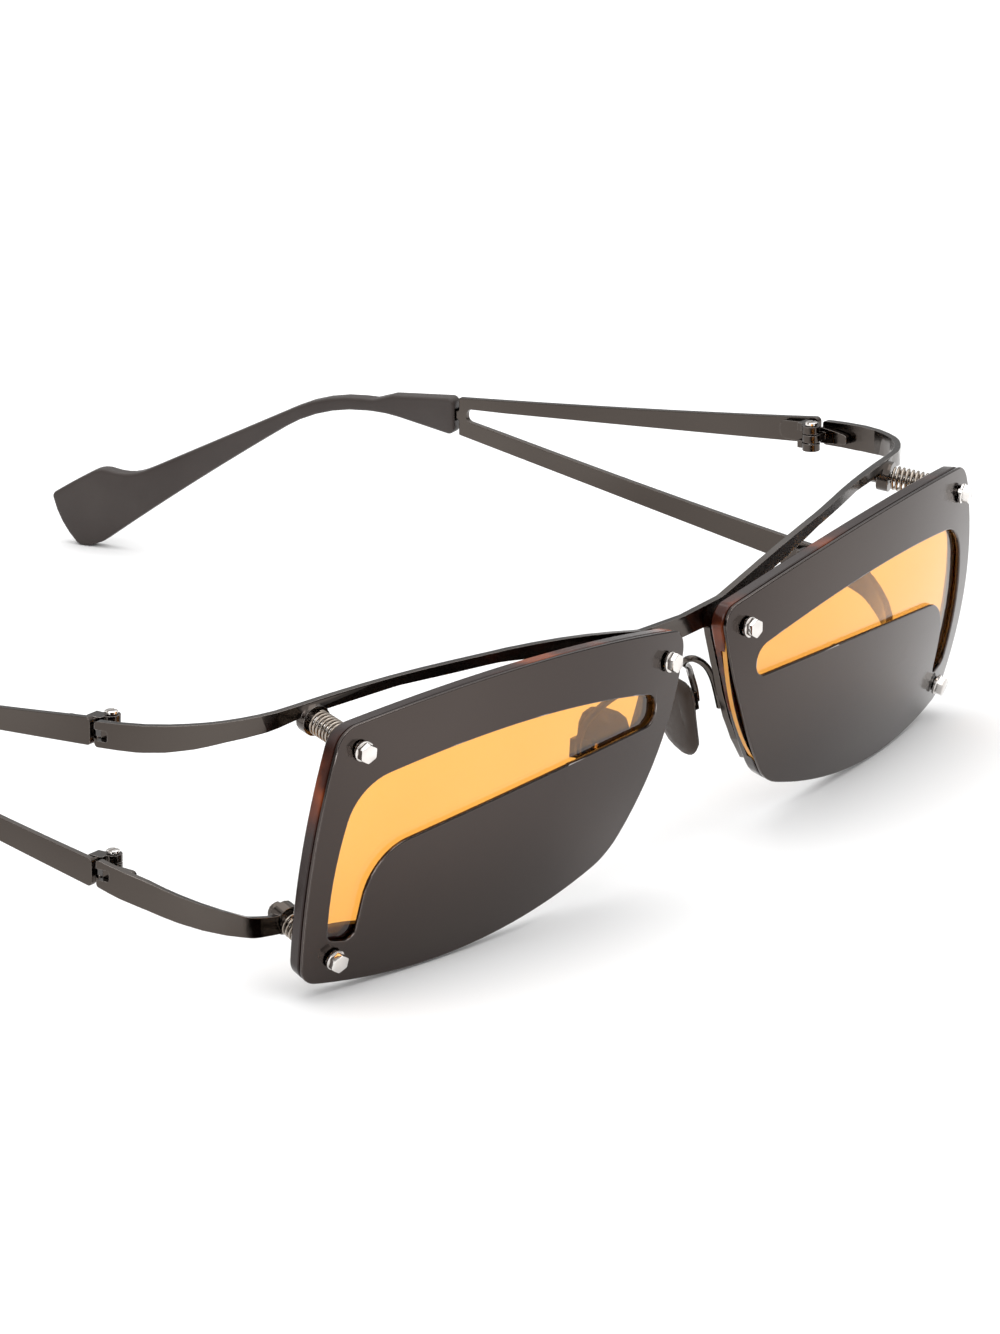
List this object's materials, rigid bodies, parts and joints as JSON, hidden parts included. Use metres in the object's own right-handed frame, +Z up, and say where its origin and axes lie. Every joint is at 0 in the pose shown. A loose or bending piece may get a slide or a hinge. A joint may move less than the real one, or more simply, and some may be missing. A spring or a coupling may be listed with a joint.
{
  "type": "wrap sunglasses with bolted lens stacks",
  "caption": "Wrap sunglasses with a bent metal front, metal plates bolted over amber lenses and tortoise rims on coil springs, and forked folding temples.",
  "frame": {"origin": "centre of the footprint on the surface that the glasses stand on, open, on the lower edges of the lens stacks and the temple tips", "axes": "+Z up; -Y the way the wearer looks; +X to the wearer's left"},
  "size_m": [0.1618, 0.1564, 0.0365],
  "materials": {
    "gunmetal": "dark polished gunmetal",
    "plate_metal": "dark satin, finely brushed",
    "amber_lens": "clear amber tint",
    "tortoise_acetate": "polished tortoise acetate, dark brown with amber-red patches",
    "bright_steel": "polished",
    "spring_steel": "drawn wire",
    "tip_plastic": "fine matte",
    "pad_plastic": "fine matte",
    "screw_brass": "polished"
  },
  "bodies": {
    "front": {"brow_frame": "gunmetal", "acetate_rim_left": "tortoise_acetate", "acetate_rim_right": "tortoise_acetate", "bolt_inner_left": "bright_steel", "bolt_inner_right": "bright_steel", "bolt_lower_left": "bright_steel", "bolt_lower_right": "bright_steel", "bolt_upper_left": "bright_steel", "bolt_upper_right": "bright_steel", "front_plate_left": "plate_metal", "front_plate_right": "plate_metal", "hinge_front_lower_left": "gunmetal", "hinge_front_lower_right": "gunmetal", "hinge_front_upper_left": "gunmetal", "hinge_front_upper_right": "gunmetal", "hinge_screw_lower_left": "bright_steel", "hinge_screw_lower_right": "bright_steel", "hinge_screw_upper_left": "bright_steel", "hinge_screw_upper_right": "bright_steel", "lower_end_piece_left": "gunmetal", "lower_end_piece_right": "gunmetal", "nut_inner_left": "gunmetal", "nut_inner_right": "gunmetal", "nut_lower_left": "gunmetal", "nut_lower_right": "gunmetal", "nut_upper_left": "gunmetal", "nut_upper_right": "gunmetal", "pad_arm_left": "gunmetal", "pad_arm_right": "gunmetal", "pad_box_left": "gunmetal", "pad_box_right": "gunmetal", "pad_screw_left": "screw_brass", "pad_screw_right": "screw_brass", "spring_lower_left": "spring_steel", "spring_lower_right": "spring_steel", "spring_upper_left": "spring_steel", "spring_upper_right": "spring_steel", "tinted_lens_left": "amber_lens", "tinted_lens_right": "amber_lens"},
    "temple_left": {"temple_left": "gunmetal", "temple_tip_left": "tip_plastic", "hinge_rear_upper_left": "gunmetal", "hinge_rear_lower_left": "gunmetal"},
    "pad_left": {"nose_pad_left": "pad_plastic"},
    "temple_right": {"temple_right": "gunmetal", "temple_tip_right": "tip_plastic", "hinge_rear_upper_right": "gunmetal", "hinge_rear_lower_right": "gunmetal"},
    "pad_right": {"nose_pad_right": "pad_plastic"}
  },
  "joints": [
    {"name": "temple_left_fold", "type": "hinge", "parent": "front", "child": "temple_left", "pos_m": [0.0773, -0.04175, 0.0226], "axis": [0, 0, 1], "range_deg": [0, 90]},
    {"name": "temple_right_fold", "type": "hinge", "parent": "front", "child": "temple_right", "pos_m": [-0.0773, -0.04175, 0.0226], "axis": [0, 0, -1], "range_deg": [0, 83]},
    {"name": "nose_pad_left_rock", "type": "hinge", "parent": "front", "child": "pad_left", "pos_m": [0.01128, -0.06551, 0.01657], "axis": [0.2924, 0.9563, 0], "range_deg": [-12, 12]},
    {"name": "nose_pad_right_rock", "type": "hinge", "parent": "front", "child": "pad_right", "pos_m": [-0.01128, -0.06551, 0.01657], "axis": [-0.2924, 0.9563, 0], "range_deg": [-12, 12]}
  ]
}
